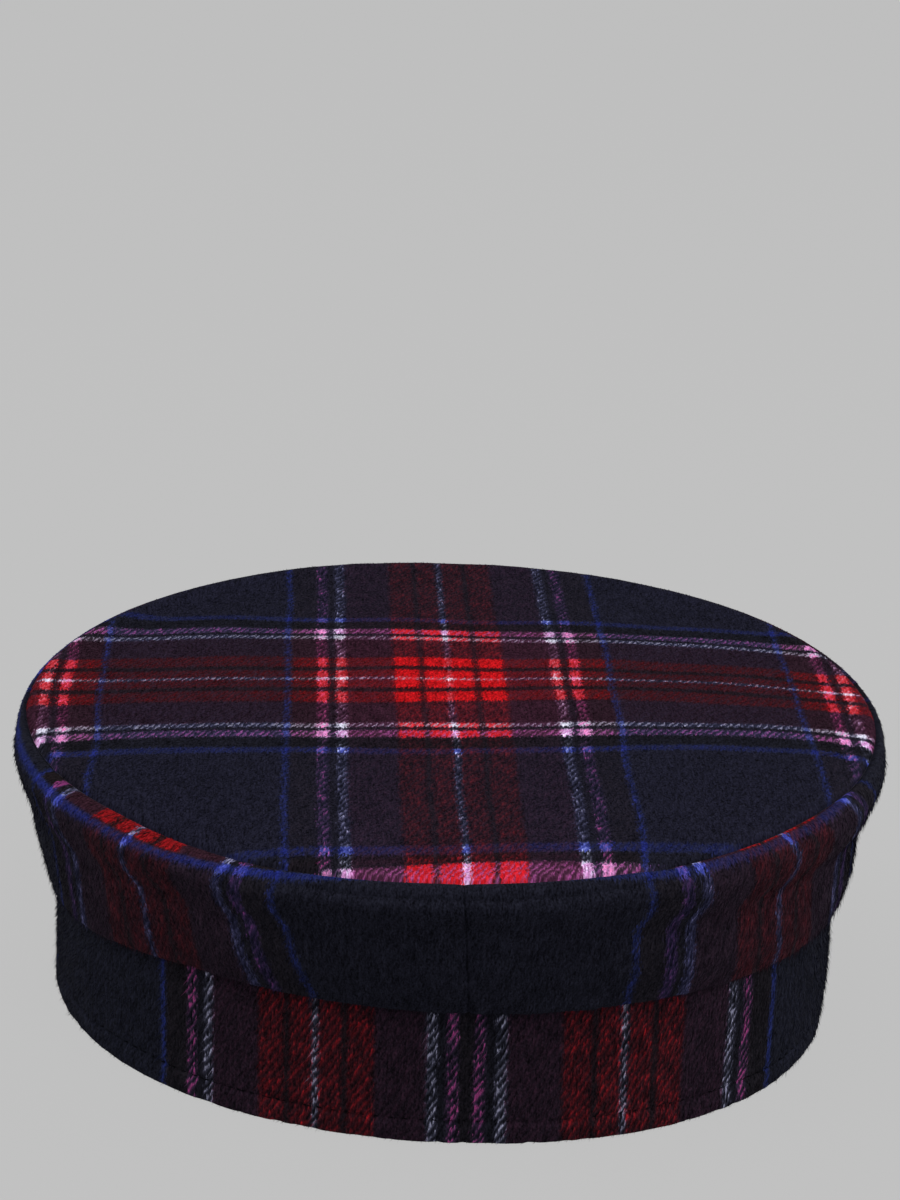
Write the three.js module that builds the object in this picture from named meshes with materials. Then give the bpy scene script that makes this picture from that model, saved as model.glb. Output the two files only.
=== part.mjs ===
// A baker boy cap: an oval head band, a soft crown of two side panels and a flat
// top panel, and a short cloth-covered peak.
// Millimetres, +Z up, +Y to the front. The cap rests on the plane z = 0 on the
// back and sides of its band and on the edge of its peak.
import * as THREE from "three";

// Head band
const bandHalfWidth = 96.9;
const bandHalfLength = 91.5;
const bandSquareness = 2.07;
const bandWall = 3;
const bandHeight = 37;
const frontLift = 12;
const liftStart = -12;

// Crown
const rimHalfWidth = 106.2;
const rimHalfLength = 99.4;
const rimShift = { x: -1.8, y: -4.8 };
const rimHeight = 73.2;
const rimSlope = { x: 0.036, y: 0.0575 };
const domeRise = 2.8;
const clothWall = 2;
const seamInset = 3.3;
const edgeRoll = 0.075;
const hemLip = 2.2;
const seamLean = 1.6;

// Peak
const peakReach = 47;
const peakTaper = 1.55;
const peakHalfAngle = 51;
const peakWall = 3;
const peakSeat = 0.6;
const peakArch = 1.25;

// Space left between neighbouring pieces, and the steps of the meshes
const gap = 0.3;
const sideSteps = 38;
const bandSteps = 76;
const topSteps = 76;
const peakSteps = 26;

// Section of a side panel, from the fold over the band up to the rim seam.
// height: share of the way up. left, back, right: share of the way out from the
// band's outline to the rim's outline, at the sides and the back. front: fullness
// in mm at the front. inset: mm in from that line.
const sideRows = [
  { height: 0, left: 0.24, back: 0.22, right: 0.28, front: 2.4, inset: 0 },
  { height: 0.05, left: 0.3, back: 0.28, right: 0.33, front: 2.8, inset: 0 },
  { height: 0.14, left: 0.4, back: 0.4, right: 0.41, front: 3.2, inset: 0 },
  { height: 0.26, left: 0.5, back: 0.52, right: 0.46, front: 3, inset: 0 },
  { height: 0.4, left: 0.6, back: 0.62, right: 0.46, front: 2.4, inset: 0 },
  { height: 0.54, left: 0.69, back: 0.7, right: 0.53, front: 1.8, inset: 0 },
  { height: 0.67, left: 0.8, back: 0.8, right: 0.79, front: 1.1, inset: 0 },
  { height: 0.78, left: 0.92, back: 0.93, right: 0.95, front: 0.5, inset: 0 },
  { height: 0.86, left: 1, back: 1, right: 1, front: 0.1, inset: 0 },
  { height: 0.92, left: 1, back: 1, right: 1, front: 0, inset: 0.25 },
  { height: 0.965, left: 1, back: 1, right: 1, front: 0, inset: 0.95 },
  { height: 0.99, left: 1, back: 1, right: 1, front: 0, inset: 1.95 },
  { height: 1, left: 1, back: 1, right: 1, front: 0, inset: 3.15 },
];

// Round the cap by angle in degrees, 0 at the right side, 90 at centre front:
// fold: height of the fold over the band. drop: how far the rim seam lies under
// the plane of the rim.
const roundRows = [
  { angle: -180, fold: 29.6, drop: 0.4 },
  { angle: -167, fold: 29.4, drop: 1 },
  { angle: -151, fold: 29.6, drop: 1.7 },
  { angle: -139, fold: 31, drop: 3.1 },
  { angle: -127, fold: 32.8, drop: 3.9 },
  { angle: -118, fold: 33.2, drop: 2.6 },
  { angle: -109, fold: 33, drop: 1.3 },
  { angle: -91, fold: 32.8, drop: 1 },
  { angle: -75, fold: 33.2, drop: 1 },
  { angle: -64, fold: 33.4, drop: 2 },
  { angle: -53, fold: 33.2, drop: 1.5 },
  { angle: -39, fold: 33, drop: 0.6 },
  { angle: -23, fold: 33.6, drop: 1.4 },
  { angle: -3, fold: 34.6, drop: 0.8 },
  { angle: 45, fold: 33.4, drop: -0.6 },
  { angle: 85, fold: 33, drop: -0.6 },
  { angle: 115, fold: 32.6, drop: -1.6 },
  { angle: 145, fold: 31.2, drop: -1.4 },
  { angle: 180, fold: 29.6, drop: 0.4 },
];

// The rows that the inner face of a side panel follows, above the lip and short
// of the seam.
const innerRows = { first: 4, last: 11 };

const radians = (degrees) => (degrees * Math.PI) / 180;

function smoothStep(from, to, value) {
  const share = Math.min(Math.max((value - from) / (to - from), 0), 1);
  return share * share * (3 - 2 * share);
}

// The value of a column at an angle, eased from row to row.
function around(angle, column) {
  const turned = ((((angle + 180) % 360) + 360) % 360) - 180;
  const next = Math.max(roundRows.findIndex((row) => row.angle > turned), 1);
  const low = roundRows[next - 1];
  const high = roundRows[next];
  const share = smoothStep(low.angle, high.angle, turned);
  return low[column] + (high[column] - low[column]) * share;
}

// A point of the band's outline and the direction straight out from it.
function bandPoint(angle) {
  const c = Math.cos(radians(angle));
  const s = Math.sin(radians(angle));
  const power = 2 / bandSquareness;
  const x = bandHalfWidth * Math.sign(c) * Math.abs(c) ** power;
  const y = bandHalfLength * Math.sign(s) * Math.abs(s) ** power;
  const lean = bandSquareness - 1;
  const nx = (Math.sign(c) * Math.abs(x / bandHalfWidth) ** lean) / bandHalfWidth;
  const ny = (Math.sign(s) * Math.abs(y / bandHalfLength) ** lean) / bandHalfLength;
  const length = Math.hypot(nx, ny);
  return { x, y, nx: nx / length, ny: ny / length };
}

// How far the rim's outline lies straight out from a point of the band's outline.
function rimDistance(point) {
  const px = (point.x - rimShift.x) / rimHalfWidth;
  const py = (point.y - rimShift.y) / rimHalfLength;
  const dx = point.nx / rimHalfWidth;
  const dy = point.ny / rimHalfLength;
  const a = dx * dx + dy * dy;
  const b = px * dx + py * dy;
  const c = px * px + py * py - 1;
  return (-b + Math.sqrt(b * b - a * c)) / a;
}

const lift = (y) => frontLift * smoothStep(liftStart, bandHalfLength, y);

function rimPlane(x, y) {
  return rimHeight + rimSlope.x * (x - rimShift.x) + rimSlope.y * (y - rimShift.y);
}

// Height of the rim seam straight out from a point of the band's outline.
function seamHeight(point, angle) {
  const out = rimDistance(point) - seamInset;
  const plane = rimPlane(point.x + point.nx * out, point.y + point.ny * out);
  return plane - around(angle, "drop");
}

const place = (point, out, z) => new THREE.Vector3(point.x + point.nx * out, point.y + point.ny * out, z);

// The outer line of a side panel from fold to seam, as rows of how far out, how
// high and at which angle. The line leans back round the cap as it rises.
function sideLine(angle) {
  return sideRows.map((row) => {
    const rowAngle = angle - seamLean * row.height;
    const point = bandPoint(rowAngle);
    const low = around(rowAngle, "fold") + lift(point.y);
    const high = seamHeight(point, rowAngle);
    const c = Math.cos(radians(rowAngle));
    const s = Math.sin(radians(rowAngle));
    const side = c < 0 ? row.left : row.right;
    const share = side * c * c + row.back * s * s;
    const fullness = row.front * Math.max(s, 0) ** 2;
    const reach = rimDistance(point) * share + fullness - row.inset;
    const out = row.height < 0.5 ? Math.max(reach, gap + clothWall) : reach;
    return { out, z: low + (high - low) * row.height, angle: rowAngle };
  });
}

// How far out a line that rises is at a height.
function outAt(line, z) {
  const next = line.findIndex((row) => row.z > z);
  const low = line[next - 1];
  const high = line[next];
  return low.out + ((high.out - low.out) * (z - low.z)) / (high.z - low.z);
}

// A line moved towards the inside of the cap by the cloth's thickness.
function insideLine(line) {
  return line.map((row, i) => {
    const low = line[Math.max(i - 1, 0)];
    const high = line[Math.min(i + 1, line.length - 1)];
    const length = Math.hypot(high.out - low.out, high.z - low.z);
    const out = row.out - ((high.z - low.z) / length) * clothWall;
    const z = row.z + ((high.out - low.out) / length) * clothWall;
    return { out, z, angle: row.angle };
  });
}

// The closed section of a side panel: outer line up, cloth edge at the seam,
// inner line down, the lip over the band's top edge, and the fold outside it.
function sideSection(angle) {
  const outer = sideLine(angle);
  const fold = outer[0];
  const seam = outer[outer.length - 1];
  const lipZ = bandHeight + lift(bandPoint(angle).y) + gap;
  const lipTop = lipZ + hemLip;
  const inner = insideLine(outer).slice(innerRows.first, innerRows.last);
  const section = [
    { out: fold.out - 0.5, z: fold.z - 0.9, angle },
    ...outer,
    { ...seam, z: seam.z - clothWall },
    ...inner.reverse(),
    { out: outAt(outer, lipTop + 1) - clothWall, z: lipTop + 1, angle },
    { out: -bandWall + 0.6, z: lipTop, angle },
    { out: -bandWall, z: lipTop - 0.6, angle },
    { out: -bandWall, z: lipZ, angle },
    { out: gap, z: lipZ, angle },
    { out: gap, z: fold.z - 0.6, angle },
    { out: gap + 0.5, z: fold.z - 1.2, angle },
  ];
  return section.map((row) => place(bandPoint(row.angle), row.out, row.z));
}

// A closed body through sections that are closed loops of points. Without end
// faces the last section joins the first.
function loft(sections, flat) {
  const count = sections[0].length;
  const positions = sections.flat().flatMap((p) => [p.x, p.y, p.z]);
  const index = [];
  const spans = flat ? sections.length - 1 : sections.length;
  for (let i = 0; i < spans; i += 1) {
    const a = i * count;
    const b = ((i + 1) % sections.length) * count;
    for (let j = 0; j < count; j += 1) {
      const k = (j + 1) % count;
      index.push(a + j, b + j, b + k);
      index.push(a + j, b + k, a + k);
    }
  }
  if (flat) {
    const ends = [0, sections.length - 1];
    ends.forEach((row) => {
      const outline = sections[row].map(flat);
      const outlineTurn = THREE.ShapeUtils.isClockWise(outline);
      THREE.ShapeUtils.triangulateShape(outline, []).forEach((face) => {
        const faceTurn = THREE.ShapeUtils.isClockWise(face.map((corner) => outline[corner]));
        const kept = (faceTurn === outlineTurn) === (row === 0);
        const corners = kept ? face : [...face].reverse();
        index.push(...corners.map((corner) => row * count + corner));
      });
    });
  }
  return solid(positions, index);
}

// A geometry whose faces point out.
function solid(positions, index) {
  let volume = 0;
  for (let i = 0; i < index.length; i += 3) {
    const [a, b, c] = index.slice(i, i + 3).map((k) => new THREE.Vector3().fromArray(positions, k * 3));
    volume += a.dot(b.cross(c));
  }
  const faces = volume > 0 ? index : index.reverse();
  const geometry = new THREE.BufferGeometry();
  geometry.setAttribute("position", new THREE.Float32BufferAttribute(positions, 3));
  geometry.setIndex(faces);
  geometry.computeVertexNormals();
  return geometry;
}

// Angles of a half of the crown from centre back to centre front, clear of the
// other half.
function sidePanelGeometry(side) {
  const edge = (gap / 2 / bandHalfWidth) * (180 / Math.PI);
  const sections = Array.from({ length: sideSteps + 1 }, (_, i) => {
    const turn = edge + ((180 - 2 * edge) * i) / sideSteps;
    return sideSection(-90 + side * turn);
  });
  return loft(sections, (p) => new THREE.Vector2(p.y, p.z));
}

// The top panel's upper face at an angle and a share of the way out to its edge.
function topPoint(angle, share) {
  const point = bandPoint(angle);
  const out = rimDistance(point) - seamInset - gap / 2;
  const x = rimShift.x + (point.x + point.nx * out - rimShift.x) * share;
  const y = rimShift.y + (point.y + point.ny * out - rimShift.y) * share;
  const roll = smoothStep(1 - edgeRoll * 1.6, 1.02, share);
  const z = rimPlane(x, y) + domeRise * (1 - share * share) - around(angle, "drop") * roll;
  return new THREE.Vector3(x, y, z);
}

function topPanelGeometry() {
  const shares = [0.25, 0.48, 0.68, 0.83, 0.9, 0.94, 0.97, 1];
  const angles = Array.from({ length: topSteps }, (_, i) => (360 * i) / topSteps);
  const under = (p) => new THREE.Vector3(p.x, p.y, p.z - clothWall);
  const rings = shares.map((share) => angles.map((angle) => topPoint(angle, share)));
  const lower = rings.slice().reverse().map((ring) => ring.map(under));
  const middle = topPoint(0, 0);
  const all = [...rings, ...lower];
  const points = [middle, ...all.flat(), under(middle)];
  const index = [];
  for (let j = 0; j < topSteps; j += 1) {
    const k = (j + 1) % topSteps;
    index.push(0, 1 + j, 1 + k);
    for (let i = 0; i < all.length - 1; i += 1) {
      const a = 1 + i * topSteps;
      const b = a + topSteps;
      index.push(a + j, b + j, b + k);
      index.push(a + j, b + k, a + k);
    }
    const last = 1 + (all.length - 1) * topSteps;
    index.push(last + j, points.length - 1, last + k);
  }
  return solid(points.flatMap((p) => [p.x, p.y, p.z]), index);
}

function bandGeometry() {
  const round = 0.5;
  const sections = Array.from({ length: bandSteps }, (_, i) => {
    const point = bandPoint((360 * i) / bandSteps);
    const low = lift(point.y);
    const high = low + bandHeight;
    const outline = [
      [0, low + round],
      [0, low + bandHeight / 2],
      [0, high - round],
      [-round, high],
      [-bandWall + round, high],
      [-bandWall, high - round],
      [-bandWall, low + bandHeight / 2],
      [-bandWall, low + round],
      [-bandWall + round, low],
      [-round, low],
    ];
    return outline.map(([out, z]) => place(point, out, z));
  });
  return loft(sections);
}

// The peak is a thin crescent that starts at the band's lower front edge and
// slopes down to the plane the cap rests on.
function peakGeometry() {
  const seat = (angle) => lift(bandPoint(angle).y) + peakSeat;
  const sections = Array.from({ length: peakSteps + 1 }, (_, i) => {
    const sweep = radians(-86 + (172 * i) / peakSteps);
    const angle = 90 + peakHalfAngle * Math.sin(sweep);
    const point = bandPoint(angle);
    const length = peakReach * Math.cos(sweep) ** peakTaper;
    const slope = (share) => seat(angle) - (seat(90) * length * share ** peakArch) / peakReach;
    const round = Math.min(peakWall / 2, length / 3);
    const shares = [0, 0.2, 0.4, 0.6, 0.8, 1];
    const flatLength = length - round;
    const lower = shares.map((share) => [gap + flatLength * share, slope((flatLength * share) / length)]);
    const upper = lower.map(([out, z]) => [out, z + peakWall]).reverse();
    const tip = slope(1);
    const nose = [
      [gap + length - round * 0.25, tip + peakWall * 0.2],
      [gap + length, tip + peakWall * 0.5],
      [gap + length - round * 0.25, tip + peakWall * 0.8],
    ];
    return [...lower, ...nose, ...upper].map(([out, z]) => place(point, out, z));
  });
  return loft(sections, (p) => new THREE.Vector2(p.y * 0.79 + Math.abs(p.x) * 0.61, p.z));
}

function cloth(colour) {
  return new THREE.MeshStandardMaterial({ color: colour, roughness: 0.95, metalness: 0 });
}

const pieces = [
  { name: "crown_top", geometry: topPanelGeometry(), colour: 0x2a1a33 },
  { name: "side_panel_left", geometry: sidePanelGeometry(-1), colour: 0x17152b },
  { name: "side_panel_right", geometry: sidePanelGeometry(1), colour: 0x1c1428 },
  { name: "head_band", geometry: bandGeometry(), colour: 0x241225 },
  { name: "peak", geometry: peakGeometry(), colour: 0x15142a },
];

const cap = new THREE.Group();
pieces.forEach((piece) => {
  const mesh = new THREE.Mesh(piece.geometry, cloth(piece.colour));
  mesh.name = piece.name;
  cap.add(mesh);
});

// The origin is at the middle of the cap's extents, on the resting plane.
const extents = new THREE.Box3().setFromObject(cap);
const middle = extents.getCenter(new THREE.Vector3());
cap.position.set(-middle.x, -middle.y, -extents.min.z);

const group = new THREE.Group();
group.add(cap);

export default group;
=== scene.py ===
import math

import bpy
import numpy as np
from mathutils import Matrix, Vector


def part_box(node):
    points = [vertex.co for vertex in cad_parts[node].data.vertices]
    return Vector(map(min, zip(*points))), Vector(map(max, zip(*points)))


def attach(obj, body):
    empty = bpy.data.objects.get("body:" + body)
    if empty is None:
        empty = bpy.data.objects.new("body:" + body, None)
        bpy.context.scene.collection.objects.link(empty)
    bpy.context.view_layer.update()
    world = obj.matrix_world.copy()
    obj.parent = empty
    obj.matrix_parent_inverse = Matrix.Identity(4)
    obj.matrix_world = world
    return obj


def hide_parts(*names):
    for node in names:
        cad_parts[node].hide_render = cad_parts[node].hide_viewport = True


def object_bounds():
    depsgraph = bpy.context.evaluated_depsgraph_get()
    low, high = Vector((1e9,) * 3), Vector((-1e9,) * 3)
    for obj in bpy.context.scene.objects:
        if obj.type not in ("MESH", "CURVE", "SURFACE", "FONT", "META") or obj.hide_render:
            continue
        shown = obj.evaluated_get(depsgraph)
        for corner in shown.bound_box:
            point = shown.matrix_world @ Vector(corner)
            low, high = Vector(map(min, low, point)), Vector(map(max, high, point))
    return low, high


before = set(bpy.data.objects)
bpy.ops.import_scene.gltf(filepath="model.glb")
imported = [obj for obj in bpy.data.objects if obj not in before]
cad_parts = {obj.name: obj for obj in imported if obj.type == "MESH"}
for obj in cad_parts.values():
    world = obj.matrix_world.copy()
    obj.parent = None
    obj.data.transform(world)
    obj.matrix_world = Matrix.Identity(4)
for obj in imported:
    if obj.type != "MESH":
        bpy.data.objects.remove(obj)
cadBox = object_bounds()
scene = bpy.context.scene

# Everything below is worked out in millimetres round the middle of the head band,
# +X to the cap's right, +Y to its front, then placed in metres.
bandLow, bandHigh = (np.array(corner) * 1000 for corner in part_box("head_band"))
bandHalf = (bandHigh - bandLow) / 2
capMiddle = np.array([(bandLow[0] + bandHigh[0]) / 2, (bandLow[1] + bandHigh[1]) / 2, 0])

bandValues = {
    "squareness": 2.07,  # 2 would be an ellipse
    "wall": 3.0,
    "height": 37.0,
    "frontLift": 12.0,  # of the lower edge at centre front
    "liftStart": -12.0,  # how far back the lift begins
    "rightTuck": 1.8,  # by which the worn right side is pressed in
    "bottomRound": 0.9,
    "stitchHeight": 5.6,  # of the stitched row over the lower edge
    "stitchPitch": 3.4,
    "stitchDent": 0.7,
    "backGroove": 0.35,
    "wave": 0.35,
    "edgeWave": 0.22,
}

crownValues = {
    "rimHalf": (105.8, 99.4),
    "rimShift": (-1.8, -4.8),
    "rimHeight": 73.2,
    "rimSlope": (0.036, 0.0575),  # rise for each mm to the right and to the front
    "domeRise": 2.8,
    "cloth": 2.0,  # thickness of the wall
    "seamInset": 3.3,  # of the rim seam from the widest line
    "edgeRoll": 0.075,  # share of the top panel that rolls down to the seam
    "hemLip": 2.2,
    "seamLean": 1.6,  # degrees by which the back seam leans
    "gap": 0.3,
    "seamGap": 0.02,
}

# A side panel from its fold over the band up to the rim seam: share of the way up,
# share of the way out at the left, back and right, fullness at the front, inset.
sideRows = np.array([
    (0, 0.24, 0.22, 0.28, 2.4, 0), (0.05, 0.3, 0.28, 0.33, 2.8, 0), (0.14, 0.4, 0.4, 0.41, 3.2, 0),
    (0.26, 0.5, 0.52, 0.46, 3, 0), (0.4, 0.6, 0.62, 0.46, 2.4, 0), (0.54, 0.69, 0.7, 0.53, 1.8, 0),
    (0.67, 0.8, 0.8, 0.79, 1.1, 0), (0.78, 0.92, 0.93, 0.95, 0.5, 0), (0.86, 1, 1, 1, 0.1, 0),
    (0.92, 1, 1, 1, 0, 0.25), (0.965, 1, 1, 1, 0, 0.95), (0.99, 1, 1, 1, 0, 1.95), (1, 1, 1, 1, 0, 3.15),
])

# Round the cap by angle, 0 at the right, 90 at centre front: height of the fold
# over the band, how far the rim seam lies under the plane of the rim, and how much
# further in it lies where the cloth rolls over it.
roundRows = np.array([
    (-180, 30.2, 0.4, -1.6), (-167, 30.2, 0.9, 0.6), (-151, 31.2, 0.9, 2.6),
    (-139, 33.3, 1.2, 4.0), (-127, 34.9, 1.6, 4.0), (-118, 34.9, 1.3, 2.9),
    (-109, 34.8, 0.5, 2.0), (-91, 34.6, 0.2, 2.3), (-75, 35.1, 0.3, 2.1),
    (-64, 35.5, 0.8, 1.7), (-53, 35.6, 0.7, 1.5), (-39, 35.8, 0.5, 1.0),
    (-23, 36.0, 1.3, 0.2), (-3, 35.6, 0.8, -1.2), (45, 33.4, -0.6, -2.2),
    (85, 33, -0.6, -2.4), (115, 32.6, -1.6, -2.4), (145, 31.2, -1.4, -2.2),
    (164, 30.6, -0.3, -2.9), (180, 30.2, 0.4, -1.6),
])


def smoothStep(low, high, value):
    share = np.clip((value - low) / (high - low), 0, 1)
    return share * share * (3 - 2 * share)


def bump(value, width):
    return np.exp(-((value / width) ** 2))


# An even curve through rows that never overshoots them.
def easedLine(places, values, at):
    steps = np.diff(places)
    slopes = np.diff(values) / steps
    bends = np.zeros_like(values, dtype=float)
    same = slopes[:-1] * slopes[1:] > 0
    total = np.where(same, slopes[:-1] + slopes[1:], 1)
    bends[1:-1] = np.where(same, 2 * slopes[:-1] * slopes[1:] / total, 0)
    bends[0], bends[-1] = slopes[0], slopes[-1]
    row = np.clip(np.searchsorted(places, at, side="right") - 1, 0, len(steps) - 1)
    t = (at - places[row]) / steps[row]
    start = values[row] * (1 + 2 * t) * (1 - t) ** 2
    end = values[row + 1] * t * t * (3 - 2 * t)
    lean = steps[row] * t * (1 - t) * (bends[row] * (1 - t) - bends[row + 1] * t)
    return start + end + lean


def aroundCap(angle, column):
    turned = (np.asarray(angle) + 180) % 360 - 180
    return easedLine(roundRows[:, 0], roundRows[:, column], turned)


# A point of the band's outline and the direction straight out from it.
def bandPoint(angle):
    turn = np.radians(angle)
    c, s = np.cos(turn), np.sin(turn)
    power = 2 / bandValues["squareness"]
    x = bandHalf[0] * np.sign(c) * np.abs(c) ** power
    y = bandHalf[1] * np.sign(s) * np.abs(s) ** power
    x = x - bandValues["rightTuck"] * np.maximum(c, 0) ** 2
    lean = bandValues["squareness"] - 1
    nx = np.sign(c) * np.abs(x / bandHalf[0]) ** lean / bandHalf[0]
    ny = np.sign(s) * np.abs(y / bandHalf[1]) ** lean / bandHalf[1]
    size = np.hypot(nx, ny)
    return x, y, nx / size, ny / size


# How far the rim's outline lies straight out from a point of the band's outline.
def rimDistance(x, y, nx, ny):
    halfX, halfY = crownValues["rimHalf"]
    shiftX, shiftY = crownValues["rimShift"]
    px, py = (x - shiftX) / halfX, (y - shiftY) / halfY
    dx, dy = nx / halfX, ny / halfY
    a = dx * dx + dy * dy
    b = px * dx + py * dy
    c = px * px + py * py - 1
    return (-b + np.sqrt(b * b - a * c)) / a


def liftAt(y):
    return bandValues["frontLift"] * smoothStep(bandValues["liftStart"], bandHalf[1], y)


def rimPlane(x, y):
    shiftX, shiftY = crownValues["rimShift"]
    slopeX, slopeY = crownValues["rimSlope"]
    return crownValues["rimHeight"] + slopeX * (x - shiftX) + slopeY * (y - shiftY)


# Out, height and turned angle of a side panel's outer line.
def sideLine(angle, height):
    rowAngle = angle - crownValues["seamLean"] * height
    x, y, nx, ny = bandPoint(rowAngle)
    low = aroundCap(rowAngle, 1) + liftAt(y)
    reach = rimDistance(x, y, nx, ny)
    rolled = aroundCap(rowAngle, 3)
    seamOut = reach - crownValues["seamInset"] - rolled
    high = rimPlane(x + nx * seamOut, y + ny * seamOut) - aroundCap(rowAngle, 2)
    c, s = np.cos(np.radians(rowAngle)), np.sin(np.radians(rowAngle))
    left, back, right, front, inset = (
        easedLine(sideRows[:, 0], sideRows[:, k], height) for k in range(1, 6)
    )
    share = np.where(c < 0, left, right) * c * c + back * s * s
    out = reach * share + front * np.maximum(s, 0) ** 2 - inset * (1 + rolled / sideRows[-1, 5])
    floor = crownValues["gap"] + crownValues["cloth"]
    out = np.where(height < 0.5, np.maximum(out, floor), out)
    return out, low + (high - low) * height, rowAngle


def outFromBand(angle, out, z):
    x, y, nx, ny = bandPoint(angle)
    return np.stack([x + nx * out, y + ny * out, z + 0 * x], -1)


# The top panel's upper face at an angle and a share of the way out to its edge.
def topPoint(angle, share):
    x, y, nx, ny = bandPoint(angle)
    shiftX, shiftY = crownValues["rimShift"]
    out = rimDistance(x, y, nx, ny) - crownValues["seamInset"] - aroundCap(angle, 3) - crownValues["seamGap"]
    px = shiftX + (x + nx * out - shiftX) * share
    py = shiftY + (y + ny * out - shiftY) * share
    roll = smoothStep(1 - crownValues["edgeRoll"] * 1.6, 1.02, share)
    z = rimPlane(px, py) + crownValues["domeRise"] * (1 - share * share)
    return np.stack([px, py, z - aroundCap(angle, 2) * roll], -1)


# Smooth unevenness of about -1 to 1, from waves in fixed random directions.
def unevenness(places, size, seed, waves=14):
    dice = np.random.default_rng(seed)
    turns = dice.normal(size=(waves, places.shape[-1])) * (2 * math.pi / size) * 0.55
    starts = dice.uniform(0, 2 * math.pi, waves)
    total = sum(np.sin(places @ turn + start) for turn, start in zip(turns, starts))
    return total / math.sqrt(waves / 2) * 0.6


def outwardOf(grid):
    along = np.gradient(grid, axis=0)
    up = np.gradient(grid, axis=1)
    normal = np.cross(along, up)
    normal /= np.maximum(np.linalg.norm(normal, axis=-1, keepdims=True), 1e-9)
    return normal


# Points of the cap, in millimetres, as places in metres.
def inMetres(points):
    return ((np.asarray(points).reshape(-1, 3) + capMiddle) * 0.001).tolist()


def addObject(name, data):
    added = bpy.data.objects.new(name, data)
    scene.collection.objects.link(added)
    return added


def indexPairs(rows, columns):
    i, j = np.meshgrid(np.arange(rows), np.arange(columns), indexing="ij")
    return i.ravel(), j.ravel()


# How much more of the lengthwise yarns lies on top at each point.
def setWarpFace(mesh, values):
    mesh.attributes.new("warpFace", "FLOAT", "POINT").data.foreach_set("value", values.ravel())


def makePiece(name, points, faces, corners, slots, materials):
    mesh = bpy.data.meshes.new(name)
    mesh.from_pydata(inMetres(points), [], faces)
    # places in the dyed set, and places along the threads
    for k, mapName in enumerate(("cloth", "weave")):
        layer = mesh.uv_layers.new(name=mapName)
        places = np.concatenate([np.reshape(c, (-1, 4))[:, 2 * k:2 * k + 2] for c in corners])
        layer.data.foreach_set("uv", places.ravel().astype(np.float32))
    for material in materials:
        mesh.materials.append(material)
    mesh.polygons.foreach_set("material_index", np.asarray(slots, dtype=np.int32))
    mesh.polygons.foreach_set("use_smooth", np.ones(len(faces), dtype=bool))
    mesh.update()
    mesh.validate()
    return addObject(name, mesh)


def volumeOf(points, quads):
    p = points.reshape(-1, 3)
    a, b, c, d = (p[quads[:, k]] for k in range(4))
    cone = np.einsum("ij,ij->i", a, np.cross(b, c)) + np.einsum("ij,ij->i", a, np.cross(c, d))
    return cone.sum()


# A closed body through loops of points (loop, point, xyz). An open run of loops is
# closed by its two end faces. cloth holds each point's place in the cloth, with one
# more loop at the end where the run closes on itself.
def bodyThroughLoops(name, loops, cloth, slots, materials, closed=False, endSlots=(1, 1)):
    loopCount, pointCount = loops.shape[:2]
    i, j = indexPairs(loopCount if closed else loopCount - 1, pointCount)
    nextI, nextJ = i + 1, (j + 1) % pointCount
    wrapI = nextI % loopCount
    quads = np.stack([i * pointCount + j, wrapI * pointCount + j,
                      wrapI * pointCount + nextJ, i * pointCount + nextJ], 1)
    corners = np.stack([cloth[i, j], cloth[nextI, j], cloth[nextI, nextJ], cloth[i, nextJ]], 1)
    slots = np.broadcast_to(slots, (loopCount, pointCount))[i, j].tolist()
    inward = volumeOf(loops, quads) < 0
    if inward:
        quads, corners = quads[:, ::-1], corners[:, ::-1]
    faces, allCorners = quads.tolist(), [corners]
    ends = () if closed else ((0, inward), (loopCount - 1, not inward))
    for (row, turned), slot in zip(ends, endSlots):
        order = slice(None, None, -1) if turned else slice(None)
        faces.append((np.arange(pointCount) + row * pointCount)[order].tolist())
        allCorners.append(cloth[row, :pointCount][order])
        slots.append(slot)
    return makePiece(name, loops, faces, allCorners, slots, materials)


# An open face of a piece, only for growing nap on it. Each point knows its place in
# the cloth and which way the nap is brushed there.
def openFace(name, grid, cloth, faced, full, napAngle, outward):
    rows, columns = grid.shape[:2]
    i, j = indexPairs(rows - 1, columns - 1)
    quads = np.stack([i * columns + j, (i + 1) * columns + j,
                      (i + 1) * columns + j + 1, i * columns + j + 1], 1)
    along, up = np.gradient(grid, axis=0), np.gradient(grid, axis=1)
    middle = (rows // 2, columns // 2)
    if np.cross(along, up)[middle] @ np.array(outward) < 0:
        quads = quads[:, ::-1]
    # the step in rows and columns that runs along the nap in the weave
    a, b = np.gradient(cloth[..., 2:], axis=0), np.gradient(cloth[..., 2:], axis=1)
    wayX, wayY = -math.sin(math.radians(napAngle)), -math.cos(math.radians(napAngle))
    span = a[..., 0] * b[..., 1] - a[..., 1] * b[..., 0]
    span = np.where(np.abs(span) < 1e-6, 1e-6, span)
    stepAlong = (wayX * b[..., 1] - wayY * b[..., 0]) / span
    stepUp = (wayY * a[..., 0] - wayX * a[..., 1]) / span
    way = along * stepAlong[..., None] + up * stepUp[..., None]
    way /= np.maximum(np.linalg.norm(way, axis=-1, keepdims=True), 1e-9)
    mesh = bpy.data.meshes.new(name)
    mesh.from_pydata(inMetres(grid), [], quads.tolist())
    for kind, values in (
        ("rootCloth", np.concatenate([cloth[..., :2], faced[..., None]], -1)),
        ("rootWeave", np.concatenate([cloth[..., 2:], full[..., None]], -1)),
        ("napWay", way),
    ):
        mesh.attributes.new(kind, "FLOAT_VECTOR", "POINT").data.foreach_set("vector", values.ravel())
    return addObject(name, mesh)


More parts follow.
